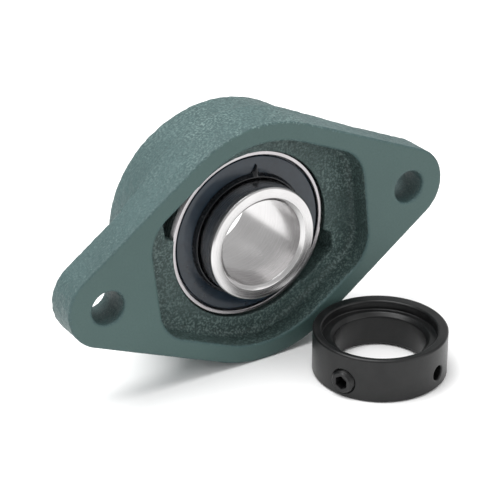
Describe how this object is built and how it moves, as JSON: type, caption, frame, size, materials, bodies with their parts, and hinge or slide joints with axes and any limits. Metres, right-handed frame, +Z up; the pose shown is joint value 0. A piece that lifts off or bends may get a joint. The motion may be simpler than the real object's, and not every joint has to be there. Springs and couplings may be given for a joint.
{
  "type": "flange mount bearing",
  "caption": "Two-bolt cast flange housing with a self-aligning insert ball bearing and a loose eccentric locking collar with its set screw.",
  "frame": {"origin": "centre of the flange's mounting face, on the shaft axis", "axes": "+Y along the shaft axis from the mounting face towards the boss, +Z up with the flange standing on its round waist and rolled 6.3 degrees, +X to the right seen from the mounting face"},
  "size_m": [0.1434, 0.0854, 0.085],
  "materials": {
    "housing_paint": "satin",
    "bearing_steel": "ground",
    "ball_steel": "polished",
    "cage_steel": "pressed",
    "seal_sheet": "gloss",
    "seal_rubber": "satin",
    "black_oxide": "satin",
    "screw_black": "satin",
    "zinc_plate": "plated"
  },
  "bodies": {
    "housing": {"housing": "housing_paint", "grease_fitting_body": "zinc_plate", "grease_fitting_spring": "zinc_plate"},
    "outer_ring": {"outer_ring": "bearing_steel", "seal_shield_rear": "seal_sheet", "seal_lip_rear": "seal_rubber", "seal_shield_front": "seal_sheet", "seal_lip_front": "seal_rubber"},
    "inner_ring": {"inner_ring": "bearing_steel"},
    "cage": {"cage_front": "cage_steel", "cage_rear": "cage_steel", "cage_rivets": "cage_steel"},
    "ball_1": {"ball_1": "ball_steel"},
    "ball_2": {"ball_2": "ball_steel"},
    "ball_3": {"ball_3": "ball_steel"},
    "ball_4": {"ball_4": "ball_steel"},
    "ball_5": {"ball_5": "ball_steel"},
    "ball_6": {"ball_6": "ball_steel"},
    "ball_7": {"ball_7": "ball_steel"},
    "ball_8": {"ball_8": "ball_steel"},
    "ball_9": {"ball_9": "ball_steel"},
    "locking_collar": {"locking_collar": "black_oxide"},
    "set_screw": {"set_screw": "screw_black"},
    "grease_fitting_ball": {"grease_fitting_ball": "ball_steel"}
  },
  "joints": [
    {"name": "self_alignment", "type": "hinge", "parent": "housing", "child": "outer_ring", "pos_m": [0, 0.019, 0], "axis": [1, 0, 0], "range_deg": [-3, 3]},
    {"name": "shaft_spin", "type": "hinge", "parent": "outer_ring", "child": "inner_ring", "pos_m": [0, 0.019, 0], "axis": [0, 1, 0], "continuous": true},
    {"name": "cage_spin", "type": "hinge", "parent": "outer_ring", "child": "cage", "pos_m": [0, 0.019, 0], "axis": [0, 1, 0], "continuous": true},
    {"name": "ball_1_spin", "type": "hinge", "parent": "cage", "child": "ball_1", "pos_m": [0.02286, 0.019, 0.00252], "axis": [0, 1, 0], "continuous": true},
    {"name": "ball_2_spin", "type": "hinge", "parent": "cage", "child": "ball_2", "pos_m": [0.01913, 0.019, -0.01276], "axis": [0, 1, 0], "continuous": true},
    {"name": "ball_3_spin", "type": "hinge", "parent": "cage", "child": "ball_3", "pos_m": [0.00646, 0.019, -0.02208], "axis": [0, 1, 0], "continuous": true},
    {"name": "ball_4_spin", "type": "hinge", "parent": "cage", "child": "ball_4", "pos_m": [-0.00924, 0.019, -0.02106], "axis": [0, 1, 0], "continuous": true},
    {"name": "ball_5_spin", "type": "hinge", "parent": "cage", "child": "ball_5", "pos_m": [-0.02062, 0.019, -0.01019], "axis": [0, 1, 0], "continuous": true},
    {"name": "ball_6_spin", "type": "hinge", "parent": "cage", "child": "ball_6", "pos_m": [-0.02235, 0.019, 0.00545], "axis": [0, 1, 0], "continuous": true},
    {"name": "ball_7_spin", "type": "hinge", "parent": "cage", "child": "ball_7", "pos_m": [-0.01362, 0.019, 0.01854], "axis": [0, 1, 0], "continuous": true},
    {"name": "ball_8_spin", "type": "hinge", "parent": "cage", "child": "ball_8", "pos_m": [0.00148, 0.019, 0.02295], "axis": [0, 1, 0], "continuous": true},
    {"name": "ball_9_spin", "type": "hinge", "parent": "cage", "child": "ball_9", "pos_m": [0.01589, 0.019, 0.01663], "axis": [0, 1, 0], "continuous": true},
    {"name": "collar_lift", "type": "slide", "parent": "housing", "child": "locking_collar", "axis": [0, 0, 1], "range_m": [0, 0.08]},
    {"name": "set_screw_travel", "type": "slide", "parent": "locking_collar", "child": "set_screw", "axis": [-0.9272, -0.3746, 0], "range_m": [-0.003, 0.009]},
    {"name": "grease_ball_travel", "type": "slide", "parent": "housing", "child": "grease_fitting_ball", "axis": [-0.7028, -0.7071, -0.0776], "range_m": [0, 0.0008], "stiffness_N_per_m": 200, "springref_m": -0.0005, "deforming": ["grease_fitting_spring"]}
  ],
  "couplings": [
    {"joint": "cage_spin", "follows": "shaft_spin", "ratio": 0.3965},
    {"joint": "ball_1_spin", "follows": "shaft_spin", "ratio": -2.3111},
    {"joint": "ball_2_spin", "follows": "shaft_spin", "ratio": -2.3111},
    {"joint": "ball_3_spin", "follows": "shaft_spin", "ratio": -2.3111},
    {"joint": "ball_4_spin", "follows": "shaft_spin", "ratio": -2.3111},
    {"joint": "ball_5_spin", "follows": "shaft_spin", "ratio": -2.3111},
    {"joint": "ball_6_spin", "follows": "shaft_spin", "ratio": -2.3111},
    {"joint": "ball_7_spin", "follows": "shaft_spin", "ratio": -2.3111},
    {"joint": "ball_8_spin", "follows": "shaft_spin", "ratio": -2.3111},
    {"joint": "ball_9_spin", "follows": "shaft_spin", "ratio": -2.3111}
  ]
}
